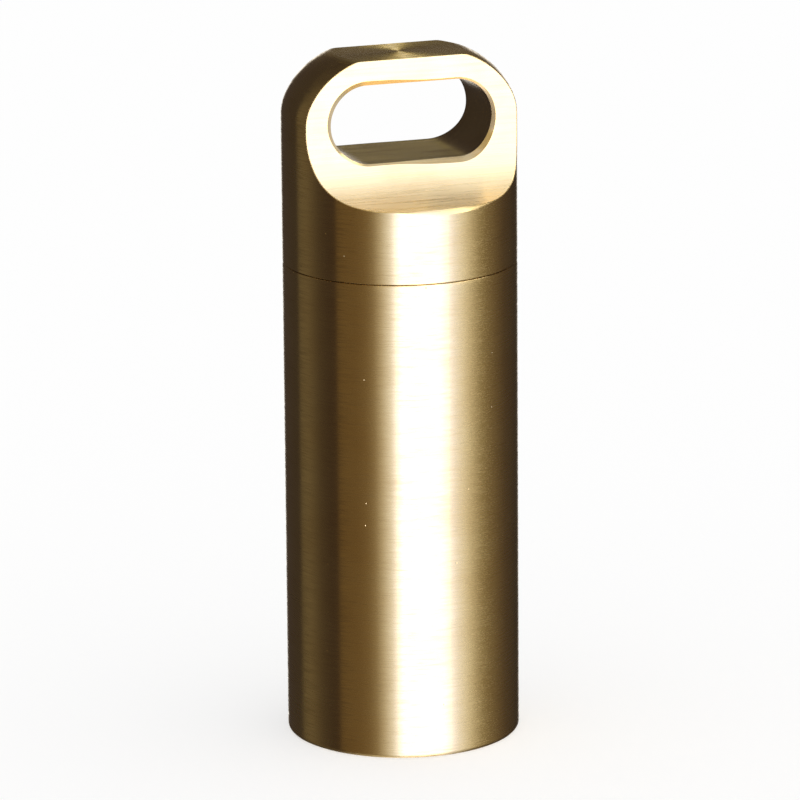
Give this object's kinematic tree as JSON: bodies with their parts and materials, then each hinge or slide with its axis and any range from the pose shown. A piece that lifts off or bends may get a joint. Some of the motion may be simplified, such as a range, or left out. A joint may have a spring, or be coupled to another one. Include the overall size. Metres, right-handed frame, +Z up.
{
  "type": "airtight storage bottle",
  "caption": "Slim round screw-top storage bottle of solid metal, with an oval carrying slot milled through its cap and a rubber seal ring under the cap's shoulder.",
  "frame": {"origin": "centre of the bottle's flat base", "axes": "+Z up along the bottle's and the screw's axis; the carrying slot's flats face -Y and +Y, and its long way is along X"},
  "size_m": [0.018, 0.018, 0.0535],
  "materials": {
    "bottle_brass": "fine circumferential brushing",
    "cap_brass": "fine brushing on milled and turned faces",
    "seal_rubber": "matt"
  },
  "bodies": {
    "bottle": {"bottle": "bottle_brass"},
    "seal": {"seal_ring": "seal_rubber"},
    "cap": {"cap": "cap_brass"}
  },
  "joints": [
    {"name": "cap_lift", "type": "slide", "parent": "bottle", "child": "seal", "axis": [0, 0, 1], "range_m": [0, 0.012]},
    {"name": "cap_turn", "type": "hinge", "parent": "seal", "child": "cap", "pos_m": [0, 0, 0.03735], "axis": [0, 0, 1], "range_deg": [0, 4320]}
  ],
  "couplings": [
    {"joint": "cap_lift", "follows": "cap_turn", "m_per_rad": 0.00015915}
  ]
}
